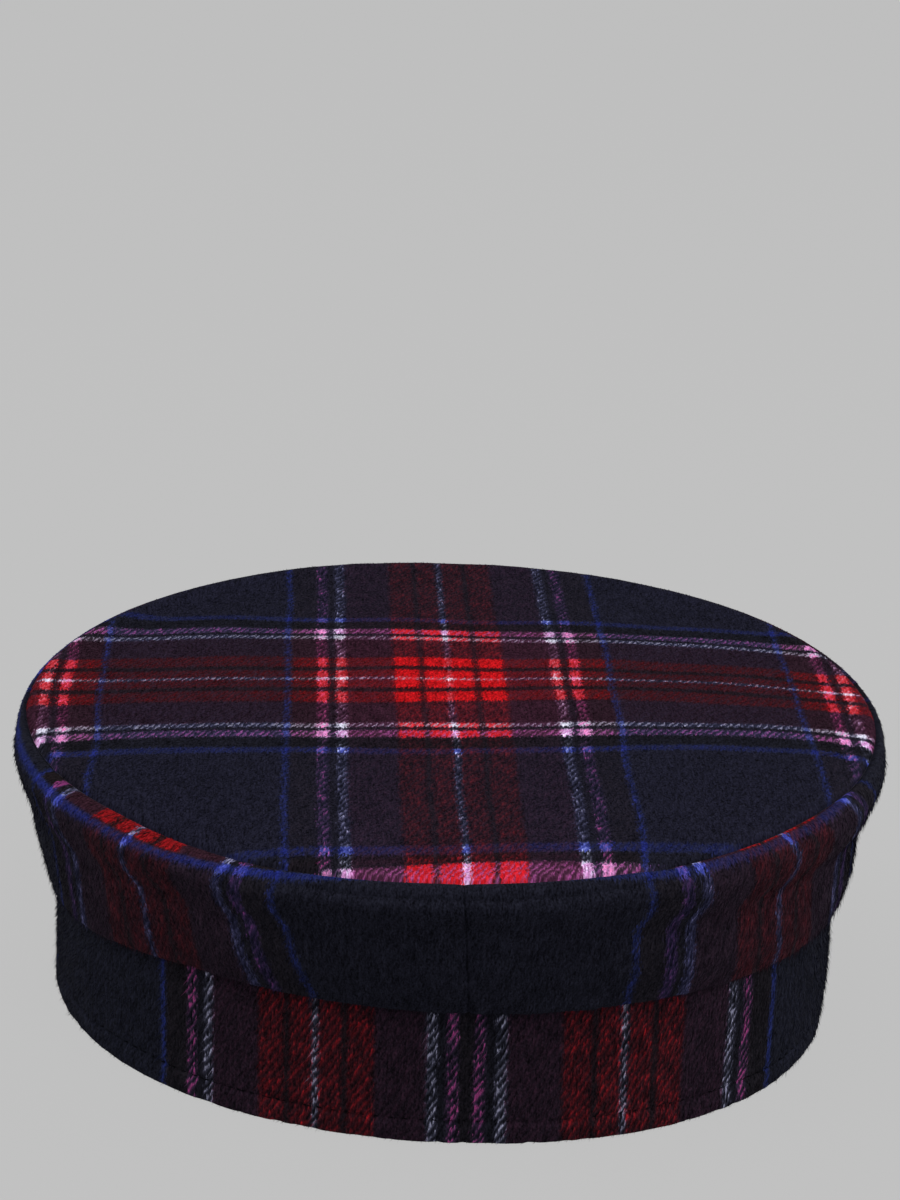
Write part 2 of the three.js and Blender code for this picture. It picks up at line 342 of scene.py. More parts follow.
# A socket that takes part in sums: an expression on it adds its Math nodes.
class Wire:
    def __init__(self, tree, socket=None):
        self.tree = tree
        self.socket = socket

    def make(self, kind, settings=None, inputs=None, output=0):
        node = self.tree.nodes.new(kind)
        for key, value in (settings or {}).items():
            if key == "stops":
                ramp = node.color_ramp
                while len(ramp.elements) < len(value):
                    ramp.elements.new(1)
                for element, (place, colour) in zip(ramp.elements, value):
                    element.position = place
                    element.color = colour
            else:
                setattr(node, key, value)
        for key, value in (inputs or {}).items():
            if isinstance(value, Wire):
                self.tree.links.new(value.socket, node.inputs[key])
            else:
                node.inputs[key].default_value = value
        return Wire(self.tree, node.outputs[output] if len(node.outputs) else None)

    # another output of the same node
    def beside(self, output):
        return Wire(self.tree, self.socket.node.outputs[output])

    def sum(self, operation, *terms):
        return self.make("ShaderNodeMath", {"operation": operation}, dict(enumerate(terms)))

    def __add__(self, other):
        return self.sum("ADD", self, other)

    def __radd__(self, other):
        return self.sum("ADD", other, self)

    def __sub__(self, other):
        return self.sum("SUBTRACT", self, other)

    def __rsub__(self, other):
        return self.sum("SUBTRACT", other, self)

    def __mul__(self, other):
        return self.sum("MULTIPLY", self, other)

    def __rmul__(self, other):
        return self.sum("MULTIPLY", other, self)

    def __truediv__(self, other):
        return self.sum("DIVIDE", self, other)

    def vector(self, operation, first, second):
        last = "Scale" if operation == "SCALE" else 1
        return self.make("ShaderNodeVectorMath", {"operation": operation}, {0: first, last: second})

    # the first two numbers of a place
    def pair(self):
        apart = self.make("ShaderNodeSeparateXYZ", {}, {0: self}, "X")
        return apart, apart.beside("Y")

    def clamped(self, low, high):
        return self.make("ShaderNodeClamp", {}, {"Value": self, "Min": low, "Max": high})


def startMaterial(name):
    material = bpy.data.materials.new(name)
    material.use_nodes = True
    material.node_tree.nodes.clear()
    return material, Wire(material.node_tree)


def linear(red, green, blue):
    parts = [value / 255 for value in (red, green, blue)]
    return tuple(p / 12.92 if p <= 0.04045 else ((p + 0.055) / 1.055) ** 2.4 for p in parts)


# The dyed yarns, as they look in a patch of one yarn only.
yarns = {
    "navy": (25, 25, 38),
    "red": (184, 18, 24),
    "maroon": (47, 23, 36),
    "white": (188, 181, 194),
    "pink": (190, 57, 114),
    "orchid": (198, 92, 168),
    "black": (19, 19, 25),
    "gap": (22, 20, 28),
    "dusk": (33, 18, 23),
    "shade": (27, 20, 25),
    "blue": (32, 40, 122),
    "azure": (30, 37, 96),
}
# how much the single floats of a yarn show
liveliness = {"red": 0.38, "white": 0.94, "pink": 0.9, "orchid": 0.78, "blue": 0.4, "azure": 0.5}
# how much more or less of a lengthwise yarn lies on top of the crosswise ones
cover = {"azure": 0.26, "shade": -0.15, "dusk": -0.05, "white": -0.09, "pink": -0.08}

# Half of the mirrored set from its middle outwards: yarn and where it ends, in mm.
warpSet = [
    ("white", 0.9), ("red", 6.2), ("dusk", 7.4), ("red", 13.7), ("maroon", 25.4),
    ("white", 28.1), ("gap", 30.0), ("pink", 32.9), ("shade", 39.2), ("azure", 41.0),
    ("navy", 66.0),
]
weftSet = [
    ("white", 0.8), ("red", 5.2), ("dusk", 7.3), ("red", 13.4), ("maroon", 25.4),
    ("white", 28.0), ("gap", 29.4), ("orchid", 33.2), ("black", 38.5), ("blue", 41.6),
    ("navy", 66.0),
]

tartanValues = {
    "repeatWarp": 125.8,
    "repeatWeft": 130.8,
    "twillPitch": 1.5,
    "twillAngle": 57.0,
    "threadStray": 2.4,  # how far fibres stray over the edge of a stripe
    "edgeBlend": 0.42,
    "mixScale": 0.05,  # keeps the darkest yarn under 1 in the ramps
    "plainLife": 0.25,  # liveliness of a yarn that isn't listed
}

# Noise drawn out along the nap: scale for each mm across it, stretch, turn, detail
# and where it starts.
clothNoise = {
    "hair": (1.5, 6.0, 0, 3.0, 3.1),
    "crossed": (2.4, 3.0, -44, 2.0, 11.7),
    "grain": (2.1, 1.3, 0, 2.5, 23.9),
    "tufts": (0.36, 1.7, 8, 1.5, 5.3),
    "broad": (0.07, 1.2, 20, 1.0, 41.3),
    "strayX": (1.9, 2.2, 6, 3.0, 17.9),
    "strayY": (1.9, 2.2, -6, 3.0, 29.3),
}

# The first tint of each look is painted light: it stands in for the colour the studio light gives that
# piece, making the side panels less blue. The second tints the light yarns.
clothLooks = {
    "top": {
        "napAngle": 34, "warpShare": 0.445, "weftLift": 0.04, "contrast": 1.0, "stray": 1.2, "twill": 0.22,
        "brightness": 0.98, "bump": 0.7, "paintedLightTint": (1, 1, 1), "lightCast": (0.92, 0.95, 1.05)},
    "side": {
        "napAngle": 26, "warpShare": 0.5, "weftLift": 0.1, "contrast": 0.9, "stray": 1.6, "twill": 0.1,
        "brightness": 1.0, "bump": 0.7, "paintedLightTint": (0.94, 0.97, 0.82), "lightCast": (0.8, 0.82, 1.06)},
    "band": {
        "napAngle": 32, "warpShare": 0.66, "weftLift": 0.0, "contrast": 1.05, "stray": 0.9, "twill": 0.26,
        "brightness": 1.0, "bump": 0.7, "paintedLightTint": (0.93, 1, 0.97), "lightCast": (0.93, 0.97, 1.08)},
    "peak": {
        "napAngle": 26, "warpShare": 0.48, "weftLift": 0.12, "contrast": 1.0, "stray": 1.0, "twill": 0.12,
        "brightness": 1.0, "bump": 0.7, "paintedLightTint": (1, 1, 1), "lightCast": (1, 1, 1)},
}


# Colours mix like fine threads seen side by side: the mean is taken on the inverse
# square root of each.
def threadStops(threads):
    reach = threads[-1][1]
    blend = tartanValues["edgeBlend"]
    stops = []
    last = 0
    for yarn, end in threads:
        mixed = (tartanValues["mixScale"] * part ** -0.5 for part in linear(*yarns[yarn]))
        value = (*mixed, liveliness.get(yarn, tartanValues["plainLife"]))
        stops.append((max(last + blend, 0) / reach if last else 0, value))
        stops.append(((end - blend) / reach if end < reach else 1, value))
        last = end
    return stops


# The same stops with each yarn's cover, round one half.
def coverStops(threads):
    places = [place for place, value in threadStops(threads)]
    shown = [cover.get(yarn, 0) + 0.5 for yarn, end in threads for edge in ("near", "far")]
    return [(place, (part, part, part, 1)) for place, part in zip(places, shown)]


def foldedPlace(place, repeat):
    half = repeat / 2
    wrapped = place.sum("WRAP", place, half, -half)
    return wrapped.sum("ABSOLUTE", wrapped)


def makeCloth(name, values):
    material, start = startMaterial(name)
    setX, setY = start.make("ShaderNodeUVMap", {"uv_map": "cloth"}).pair()
    weave = start.make("ShaderNodeUVMap", {"uv_map": "weave"})
    threadX, threadY = weave.pair()

    def fibres(scale, stretch, turn, detail, shift):
        turned = start.make("ShaderNodeMapping", {}, {
            "Vector": weave, "Location": (shift, shift * 0.7, 0),
            "Rotation": (0, 0, math.radians(values["napAngle"] + turn)),
            "Scale": (scale, scale / stretch, 1)})
        return start.make("ShaderNodeTexNoise", {"noise_dimensions": "2D"}, {
            "Vector": turned, "Scale": 1.0, "Detail": detail, "Roughness": 0.62}, "Fac") - 0.5

    def ramp(stops, place):
        return start.make("ShaderNodeValToRGB", {"stops": stops}, {"Fac": place}, "Color")

    def blend(share, low, high):
        return start.make("ShaderNodeMix", {"data_type": "RGBA"}, {0: share, 6: low, 7: high}, 2)

    hair, crossed, grain, tufts, broad, strayX, strayY = (fibres(*row) for row in clothNoise.values())

    stray = values["stray"] * tartanValues["threadStray"]
    placeX = setX + strayX * stray + hair * (stray * 0.5)
    placeY = setY + strayY * stray + crossed * (stray * 0.5) + hair * (stray * 0.4)
    reach = warpSet[-1][1]
    warpPlace = foldedPlace(placeX, tartanValues["repeatWarp"]) / reach
    weftPlace = foldedPlace(placeY, tartanValues["repeatWeft"]) / reach
    warp, weft = ramp(threadStops(warpSet), warpPlace), ramp(threadStops(weftSet), weftPlace)
    held = ramp(coverStops(warpSet), warpPlace)
    warpLife, weftLife = warp.beside("Alpha"), weft.beside("Alpha")
    lively = warpLife.sum("MAXIMUM", warpLife, weftLife)
    both = ((warpLife + weftLife - 1.18) * 1.7).clamped(0, 0.88)  # where two light yarns cross

    # twill floats rise to the right and show more of the warp on their crests
    lean = math.radians(tartanValues["twillAngle"])
    pitch = tartanValues["twillPitch"]
    ridge = threadX * (math.sin(lean) / pitch) - threadY * (math.cos(lean) / pitch)
    ridge = ridge + hair * 1.3 + tufts * 1.2
    twill = ridge.sum("SINE", ridge * (2 * math.pi))
    # some stretches show more of one set of threads than the other
    faced = start.make("ShaderNodeAttribute", {"attribute_name": "warpFace"}, {}, "Fac")
    floats = twill * (values["twill"] + weftLife * 0.2) + hair * 1.3 + tufts * 0.9 + crossed * 0.3
    share = values["warpShare"] - 0.5 + held + faced - weftLife * values["weftLift"]
    share = (share + floats * lively * values["contrast"]).clamped(0.05, 0.93)
    root = start.vector("DIVIDE", (tartanValues["mixScale"],) * 3, blend(share, weft, warp))
    seen = blend(both, start.vector("MULTIPLY", root, root), root)

    # light and dark of the single fibres, then the tone of this piece with its tint of painted light
    fine = 1.15 - lively * 0.6
    shade = 1.0 + hair * 1.7 + grain * fine * 2.4 + crossed * fine * 1.4 + tufts * 0.6 + broad * 0.3
    shade = (shade + twill * 0.1).clamped(0.25, 2.4) * values["brightness"]
    light = ((lively - 0.3) * 1.6).clamped(0, 1)
    # painted light: the piece's tint stands in for the colour of the light falling on it
    tint = blend(light, (*values["paintedLightTint"], 1), (*values["lightCast"], 1))
    colour = start.vector("SCALE", start.vector("MULTIPLY", seen, tint), shade)

    height = twill * 0.03 + hair * 0.45 + crossed * 0.3 + grain * 0.15 + tufts * 0.6
    normal = start.make("ShaderNodeBump", {}, {
        "Strength": values["bump"], "Distance": 0.001, "Height": height}, "Normal")
    rough = (0.9 + hair * 0.3).clamped(0, 1)
    shader = start.make("ShaderNodeBsdfPrincipled", {}, {
        "Base Color": colour, "Roughness": rough, "Normal": normal, "Specular IOR Level": 0.02,
        "Sheen Weight": 0.003, "Sheen Roughness": 0.5, "Sheen Tint": (0.72, 0.76, 1.0, 1)}, "BSDF")
    start.make("ShaderNodeOutputMaterial", {}, {"Surface": shader})
    return material


# The plain inner side, with ribs at a pitch in mm.
def makeLining(name, colour, ribs):
    material, start = startMaterial(name)
    cloth = start.make("ShaderNodeUVMap", {"uv_map": "weave"})
    across = cloth.pair()[0]
    wave = across.sum("SINE", across * (2 * math.pi / ribs))
    grain = start.make("ShaderNodeTexNoise", {"noise_dimensions": "2D"}, {
        "Vector": cloth, "Scale": 0.8, "Detail": 3.0}, "Fac")
    shade = 0.9 + wave * 0.12 + (grain - 0.5) * 0.4
    tone = start.vector("SCALE", linear(*colour), shade)
    normal = start.make("ShaderNodeBump", {}, {
        "Strength": 0.6, "Distance": 0.001, "Height": wave * 0.1 + grain * 0.05}, "Normal")
    shader = start.make("ShaderNodeBsdfPrincipled", {}, {
        "Base Color": tone, "Roughness": 0.48 + (grain - 0.5) * 0.2, "Normal": normal,
        "Specular IOR Level": 0.4, "Sheen Weight": 0.1}, "BSDF")
    start.make("ShaderNodeOutputMaterial", {}, {"Surface": shader})
    return material


cloths = {
    kind: makeCloth("brushedTartan" + kind.capitalize(), values) for kind, values in clothLooks.items()
}
liningSatin = makeLining("liningSatin", (22, 22, 34), 0.5)
sweatRibbon = makeLining("sweatRibbon", (16, 16, 22), 1.1)
print("materials made")


# left is -1 and right is 1
sideValues = {
    "seamGroove": 0.9,  # depth of the groove along the rim seam
    "seamWidth": 0.55,
    "backGroove": 0.45,
    "allowanceCrease": 0.85,  # depth of the crease where the seam allowance ends
    "crease": 0.35,
    "wave": 0.5,
    "rimWelt": 0.16,
    "foldWelt": 0.12,
    "seamOverlap": 0.003,  # degrees by which the panels meet in their seams
    "blueForward": {-1: 0.3, 1: 0.14},  # how far the crosswise blue comes over the warp
    "stripForward": 0.5,  # how far the warp comes over the strip above it
    # share of the way up, then at the left and at the right: distance of the middle
    # of the set from the back seam, and how much the cloth is eased in there
    "setRows": np.array([
        (0, 84.0, 0.87, 88.0, 0.84),
        (0.1, 83.7, 0.89, 87.4, 0.85),
        (0.25, 83.0, 0.93, 85.3, 0.9),
        (0.45, 82.2, 0.975, 84.3, 0.91),
        (0.58, 82.4, 0.98, 84.1, 0.915),
        (0.73, 84.6, 0.975, 85.9, 0.935),
        (0.87, 84.0, 0.985, 84.6, 0.96),
        (1, 82.5, 1.0, 82.0, 1.02),
    ]),
    # how far the crosswise blue line lies under the rim, by distance from the seam
    "lineRows": {
        -1: np.array([
            (0, -3.5), (24, 0), (35, 2), (46, 3.2), (62, 5.2), (84, 6.6), (105, 6), (130, 4.4), (200, 0.5),
            (330, -4)]),
        1: np.array([
            (0, -3.5), (32, 0.6), (45, 2.3), (60, 2.9), (90, 2.8), (108, 1.2), (122, -3), (200, -4),
            (330, -4)]),
    },
    # the hem from the band out to the fold: share of the way out, height over the fold
    "hemRows": np.array([
        (0.02, 2.0), (0.02, 0.1), (0.1, -0.8), (0.34, -1.3), (0.68, -1.15), (0.92, -0.55), (1, 0)]),
    "hemSteps": 18,
}


def sideOuterHeights():
    lower = np.linspace(0, 0.88, 56)
    t = np.linspace(0, 1, 30)[1:]
    return np.concatenate([lower, 0.88 + 0.12 * (1 - (1 - t) ** 1.8)])


def makeSidePanel(name, side):
    # angles from the centre back seam round to the front, close together at both
    near = np.linspace(0, 3.2, 18)
    turns = np.concatenate([near, np.linspace(3.2, 176.8, 262)[1:-1], 180 - near[::-1]])
    turns = turns * (180 + 2 * sideValues["seamOverlap"]) / 180 - sideValues["seamOverlap"]
    angles = -90 + side * turns
    heights = sideOuterHeights()
    angleGrid, heightGrid = np.meshgrid(angles, heights, indexing="ij")
    out, z, turned = sideLine(angleGrid, heightGrid)

    # rolled hem under the fold, back to the band
    hemRows = sideValues["hemRows"]
    steps = np.linspace(0, len(hemRows) - 1, sideValues["hemSteps"] + 1)[:-1]
    hemOut, hemRise = (easedLine(np.arange(len(hemRows)), hemRows[:, k], steps) for k in (0, 1))
    out, z = np.concatenate([out[:, :1] * hemOut, out], 1), np.concatenate([z[:, :1] + hemRise, z], 1)
    turned = np.concatenate([np.repeat(turned[:, :1], len(steps), 1), turned], 1)
    allHeights = np.concatenate([np.zeros(len(steps)), heights])
    grid = outFromBand(turned, out, z)

    # how far along the seam and how far under the rim each point lies
    rimOut, rimZ, rimAngle = sideLine(angles, np.full_like(angles, 0.9))
    rim = outFromBand(rimAngle, rimOut, rimZ)
    stepsRound = np.hypot(*np.diff(rim[:, :2], axis=0).T)
    fromSeam = np.concatenate([[0], np.cumsum(stepsRound)])[:, None] + 0 * out
    stepsUp = np.linalg.norm(np.diff(grid, axis=1), axis=-1)
    underRim = np.concatenate([np.cumsum(stepsUp[:, ::-1], 1)[:, ::-1], np.zeros((len(angles), 1))], 1)
    share = allHeights[None, :] + 0 * out

    # relief: seam grooves, the seam allowance under the cloth, a soft crease, waves
    normal = outwardOf(grid)
    middle = len(angles) // 2
    if normal[middle, 60] @ np.array([*bandPoint(angles[middle])[2:], 0]) < 0:
        normal = -normal
    # straight out at the seams, so that both panels sink alike
    ends = np.minimum(turns, 180 - turns)[:, None] + 0 * out
    tangent = np.stack([-bandPoint(turned)[3], bandPoint(turned)[2], 0 * out], -1)
    sideways = np.sum(normal * tangent, -1, keepdims=True) * bump(ends, 1.2)[..., None]
    normal = normal - tangent * sideways
    places = np.stack([fromSeam * side, underRim], -1)
    relief = -sideValues["seamGroove"] * bump(underRim, sideValues["seamWidth"])
    relief += 0.15 * bump(underRim - 2.0, 1.4)
    relief -= sideValues["backGroove"] * bump(fromSeam, 0.45) + 0.15 * bump(fromSeam, 2.2)
    allowanceEnd = 5.6 - 1.5 * (fromSeam / 50) ** 2
    allowanceOn = smoothStep(62, 32, fromSeam)
    relief -= sideValues["allowanceCrease"] * bump(underRim - allowanceEnd, 1.1) * allowanceOn
    creaseAt = 0.6 + 0.03 * unevenness(places[..., :1], 60, 4)
    creaseOn = smoothStep(28, 50, fromSeam)
    relief += sideValues["crease"] * creaseOn * (
        bump(share - creaseAt - 0.07, 0.09) * 0.6 - bump(share - creaseAt + 0.06, 0.09) * 0.9)
    body = smoothStep(0, 8, underRim) * smoothStep(0, 0.12, share) * smoothStep(0, 7, ends)
    relief += sideValues["wave"] * body * unevenness(places, 34, 8 + side)
    welt = unevenness(places * np.array([1, 0.35]), 6.5, 21 + side) * smoothStep(0, 2, ends)
    relief += sideValues["rimWelt"] * welt * bump(underRim, 5) * smoothStep(0, 3, underRim)
    welt = unevenness(places, 5, 31 + side) * smoothStep(0, 2, ends)
    relief += sideValues["foldWelt"] * welt * bump(share, 0.12)
    grid = grid + normal * relief[..., None]

    # place in the cloth
    setRows = sideValues["setRows"]
    centre, ease = (easedLine(setRows[:, 0], setRows[:, k + side], share) for k in (2, 3))
    across = (fromSeam - centre) * ease
    # plain and even towards the front
    across = (across + ((fromSeam - 83.5) * 0.93 - across) * smoothStep(135, 200, fromSeam)) * side
    lineRows = sideValues["lineRows"][side]
    blueUnder = easedLine(lineRows[:, 0], lineRows[:, 1], fromSeam)
    along = -40.2 - (underRim - blueUnder) * 0.96
    cloth = np.stack([across, along, fromSeam * side, -underRim], -1)
    # at the rim the crosswise blue comes forward, and above it the lengthwise yarns
    faced = -sideValues["blueForward"][side] * bump(underRim - blueUnder, 1.5)
    faced += sideValues["stripForward"] * smoothStep(0.9, 1.7, blueUnder - underRim)

    # inner side: down from the seam, along the wall and over the band's top edge
    wall = crownValues["cloth"]
    innerHeights = np.linspace(0.93, 0.4, 14)
    innerAngles, innerGrid = np.meshgrid(angles, innerHeights, indexing="ij")
    lineOut, lineZ, lineAngle = sideLine(innerAngles, innerGrid)
    above = sideLine(innerAngles, innerGrid + 0.01)
    under = sideLine(innerAngles, innerGrid - 0.01)
    run, rise = above[0] - under[0], above[1] - under[1]
    length = np.hypot(run, rise)
    inner = outFromBand(lineAngle, lineOut - rise / length * wall, lineZ + run / length * wall)
    seamDown = outFromBand(turned[:, -1:], out[:, -1:], z[:, -1:] - wall)
    lipZ = bandValues["height"] + liftAt(bandPoint(angles)[1]) + crownValues["gap"]
    lipTop = lipZ + crownValues["hemLip"]
    bandWall = bandValues["wall"]
    lip = np.stack([outFromBand(angles, o, h) for o, h in (
        (-bandWall + 0.6, lipTop), (-bandWall, lipTop - 0.6), (-bandWall, lipZ), (0.05, lipZ))], 1)
    loops = np.concatenate([grid, seamDown, inner, lip], 1)
    rest = loops.shape[1] - grid.shape[1]
    downBy = np.arange(1, rest + 1)[None, :, None] * np.array([0, 3.0, 0, 3.0])
    allCloth = np.concatenate([cloth, np.repeat(cloth[:, -1:], rest, 1) - downBy], 1)
    slots = [0] * grid.shape[1] + [1] * rest
    piece = bodyThroughLoops(name, loops, allCloth, slots, [cloths["side"], liningSatin])
    setWarpFace(piece.data, np.concatenate([faced, np.zeros((len(angles), rest))], 1))
    full = 1 - 0.55 * bump(underRim, 7) - 0.25 * bump(underRim, 1.6) - 0.2 * bump(fromSeam, 1.2)
    return piece, (grid, cloth, faced, full)


sideLeft, leftFace = makeSidePanel("side_cloth_left", -1)
sideRight, rightFace = makeSidePanel("side_cloth_right", 1)
for piece, node in ((sideLeft, "side_panel_left"), (sideRight, "side_panel_right")):
    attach(piece, "root")
    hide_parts(node)
print("side panels made")


topValues = {
    "steps": 320,
    "seamGroove": 0.85,
    "seamWidth": 0.6,
    "wave": 0.35,
    "rimWelt": 0.16,
    "setMiddle": (-1.5, 5.8),
    "setTurn": -0.004,  # radians
    "setFan": (0.0105, 0.0009),  # lean of the crosswise lines, and how it grows to the front
    "setStray": 0.35,
    "backForward": 0.3,  # how far the warp comes forward near the back rim
    # how far the crosswise lines sag to the back, by place across, for each line
    "sagPlaces": (-100, -80, -60, -45, -30, 0, 30, 45, 60, 80, 100),
    "sagLines": (-107, -96.5, -92.5, -88, -41, -28, 0, 30),
    "sag": (
        (-2.3, -1.8, -0.2, 1.6, 3.6, 5.0, 6.1, 6.4, 6.5, 6.5, 6.5),
        (-7.0, -6.5, -4.4, -1.6, -1.0, -1.5, -0.2, 0.4, 1.2, 1.6, 1.2),
        (-5.9, -5.4, -4.3, -2.7, -1.2, 0.4, 0.7, 0.8, 0.7, 1.0, 1.2),
        (-7.0, -6.5, -5.4, -3.8, -2.3, -0.9, -0.7, -0.6, -0.6, -0.2, 0.2),
        (-4.0, -3.6, -2.9, -1.5, 0.1, 1.6, 0.4, -0.9, -1.6, -1.5, 0.7),
        (-4.0, -3.7, -2.0, -0.8, -0.1, 0.0, -0.4, -0.8, -1.5, -1.7, 0.0),
        (-3.2, -3.0, -2.2, -1.7, -1.7, -1.6, -2.8, -3.2, -3.7, -2.7, -0.8),
        (0.0, -2.0, -2.0, -1.5, -1.7, -1.4, -2.2, -3.3, -3.5, -2.4, 0.0),
    ),
}


def makeTopPanel():
    steps = topValues["steps"]
    angles = np.arange(steps + 1) * 360 / steps - 90
    t = np.linspace(0, 1, 34)[1:]
    shares = np.concatenate([np.linspace(0.03, 0.9, 58), 0.9 + 0.1 * (1 - (1 - t) ** 1.7)])
    angleGrid, shareGrid = np.meshgrid(angles, shares, indexing="ij")
    grid = topPoint(angleGrid, shareGrid)
    edge = grid[:, -1:]
    fromEdge = np.linalg.norm((grid - edge)[..., :2], axis=-1)
    places = grid[..., :2]
    relief = -topValues["seamGroove"] * bump(fromEdge, topValues["seamWidth"])
    relief += 0.3 * bump(fromEdge - 2.6, 1.7)
    relief += topValues["wave"] * unevenness(places, 48, 3) * smoothStep(0, 14, fromEdge)
    roundEdge = np.stack([np.cos(np.radians(angleGrid)), np.sin(np.radians(angleGrid))], -1) * 95
    welt = unevenness(roundEdge, 7, 12) * bump(fromEdge, 5)
    relief += topValues["rimWelt"] * welt * smoothStep(0, 2.5, fromEdge)
    grid[..., 2] += relief

    # place in the cloth, where the crosswise lines sag
    x, y = (grid[..., k] - topValues["setMiddle"][k] for k in (0, 1))
    c, s = math.cos(topValues["setTurn"]), math.sin(topValues["setTurn"])
    u, v = x * c + y * s, y * c - x * s
    lean, growth = topValues["setFan"]
    v = v + u * (lean + growth * v)
    sagPlaces = np.array(topValues["sagPlaces"], float)
    sags = [easedLine(sagPlaces, np.array(row), u) for row in topValues["sag"]]
    lines = topValues["sagLines"]
    sag = sags[0]
    for k in range(1, len(lines)):
        sag = sag + (sags[k] - sags[k - 1]) * smoothStep(lines[k - 1], lines[k], v)
    v = v + sag + topValues["setStray"] * unevenness(places, 40, 5)
    u = u + 0.6 + topValues["setStray"] * unevenness(places, 40, 6)
    cloth = np.stack([u, v, x, y], -1)
    # near the back rim the lengthwise yarns lie over the dark crosswise ones
    faced = topValues["backForward"] * bump(v + 95, 2.4)

    # rings from the middle of the upper face out to the edge and back under it
    ring = grid[:-1]
    under = np.array([0, 0, crownValues["cloth"]])
    lowerShares = [0.985, 0.9, 0.75, 0.5, 0.25, 0.03]
    lower = [topPoint(angles[:-1], np.full(steps, share)) - under for share in lowerShares]
    lower = np.stack([ring[:, -1] - under / 2, *lower], 1)
    loops = np.concatenate([ring, lower], 1).swapaxes(0, 1)
    places = np.concatenate([cloth[:-1], lower[..., [0, 1, 0, 1]]], 1).swapaxes(0, 1)
    slots = [[0]] * (ring.shape[1] - 1) + [[1]] * (lower.shape[1] + 1)
    finishes = [cloths["top"], liningSatin]
    piece = bodyThroughLoops("top_cloth", loops, places, slots, finishes, endSlots=(0, 1))
    setWarpFace(piece.data, np.concatenate([faced[:-1], np.zeros(lower.shape[:2])], 1).T)
    return piece, (grid, cloth, faced, 0.72 - 0.45 * bump(fromEdge, 3))


topPanel, topFace = makeTopPanel()
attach(topPanel, "root")
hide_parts("crown_top")
print("top panel made")


bandPattern = {
    "seamAngle": -89.6,
    # distance of the middle of the set from the back seam, and how the cloth is
    # eased on its near and far side, at the left and at the right
    -1: (34.1, 1.0, 0.99),
    1: (37.5, 0.92, 0.885),
    "slack": {-1: 22.0, 1: 0.0},  # of the set towards the front
    "lean": 1.5,  # by which a stripe leans over the height of the band
    "weftPlace": 36.0,  # all in the dark part of the set
    "steps": 470,
}


def makeBand():
    steps = bandPattern["steps"]
    angles = bandPattern["seamAngle"] - 180 + np.arange(steps + 1) * 360 / steps
    x, y, nx, ny = bandPoint(angles)
    run = np.concatenate([[0], np.cumsum(np.hypot(np.diff(x), np.diff(y)))])
    middle = np.interp(bandPattern["seamAngle"], angles, run)
    fromSeam = run - middle
    low = liftAt(y)
    r = bandValues["bottomRound"]
    wall = bandValues["wall"]
    top = bandValues["height"]
    # outer side from the bottom edge up, then down the inner side
    profile = [(-r + r * math.cos(t), r + r * math.sin(t)) for t in np.linspace(-math.pi / 2, 0, 7)]
    heights = np.concatenate([np.linspace(r, 11, 26)[1:], np.linspace(11, top - 0.5, 26)[1:]])
    profile += [(0, h) for h in heights]
    outer = len(profile)
    profile += [(-0.5, top), (-wall + 0.5, top), (-wall, top - 0.5)]
    profile += [(-wall, h) for h in np.linspace(top - 2, 2, 12)]
    profile += [(-wall, r), (-wall + r * 0.3, r * 0.3), (-wall + r, 0)]
    outs, ups = np.array(profile).T
    s = fromSeam[:, None] + 0 * ups
    h = ups[None, :] + 0 * s
    turned = s / run[-1] * 2 * math.pi
    places = np.stack([np.cos(turned) * 94.5, np.sin(turned) * 94.5, h], -1)
    onOuter = (np.arange(len(profile)) < outer)[None, :] * 1.0

    # relief: soft waves, the sunk stitches, the turned hem and the back seam
    relief = bandValues["wave"] * unevenness(places, 42, 15) * smoothStep(0, 6, h) * smoothStep(36, 26, h)
    stitch = 0.62 + 0.38 * np.cos(2 * math.pi * s / bandValues["stitchPitch"])
    relief -= bandValues["stitchDent"] * bump(h - bandValues["stitchHeight"], 0.75) * stitch
    relief += 0.14 * bump(h - 2.6, 1.8) - bandValues["backGroove"] * bump(s, 0.5)
    relief += 0.1 * unevenness(places, 4.2, 16) * bump(h - 2, 6)
    out = outs[None, :] + relief * onOuter
    edgeWave = bandValues["edgeWave"] * unevenness(places, 5.5, 17) * bump(h, 1.6)
    z = low[:, None] + ups[None, :] + np.maximum(edgeWave, 0)
    grid = outFromBand(angles[:, None] + 0 * ups, out, z)

    # place in the cloth
    across = np.zeros_like(s)
    leaned = s + 0.7 - bandPattern["lean"] * (0.5 - h / 35)
    for side in (-1, 1):
        centre, near, far = bandPattern[side]
        reach = leaned * side - centre - bandPattern["slack"][side] * smoothStep(95, 120, s * side)
        across = np.where(s * side >= 0, np.where(reach < 0, reach * near, reach * far), across)
    # eased in under the peak so that the set runs on across the centre front
    repeat = tartanValues["repeatWarp"]
    total = across[0] + across[-1]
    missing = np.ceil(total / repeat) * repeat - total
    across = across + 0.5 * missing * smoothStep(135, 290, np.abs(s))
    cloth = np.stack([across, bandPattern["weftPlace"] + 0 * s, s, h], -1)
    slots = [0] * (outer + 1) + [1] * (len(profile) - outer - 1)
    finishes = [cloths["band"], sweatRibbon]
    piece = bodyThroughLoops("band_cloth", grid[:-1], cloth, slots, finishes, closed=True)
    full = 1 - 0.7 * bump(h - bandValues["stitchHeight"], 0.9) - 0.4 * bump(h, 2) - 0.5 * bump(s, 0.8)
    return piece, (grid[:, :outer], cloth[:, :outer], np.zeros((steps + 1, outer)), full[:, :outer])


bandPiece, bandFace = makeBand()
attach(bandPiece, "root")
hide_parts("head_band")
print("head band made")


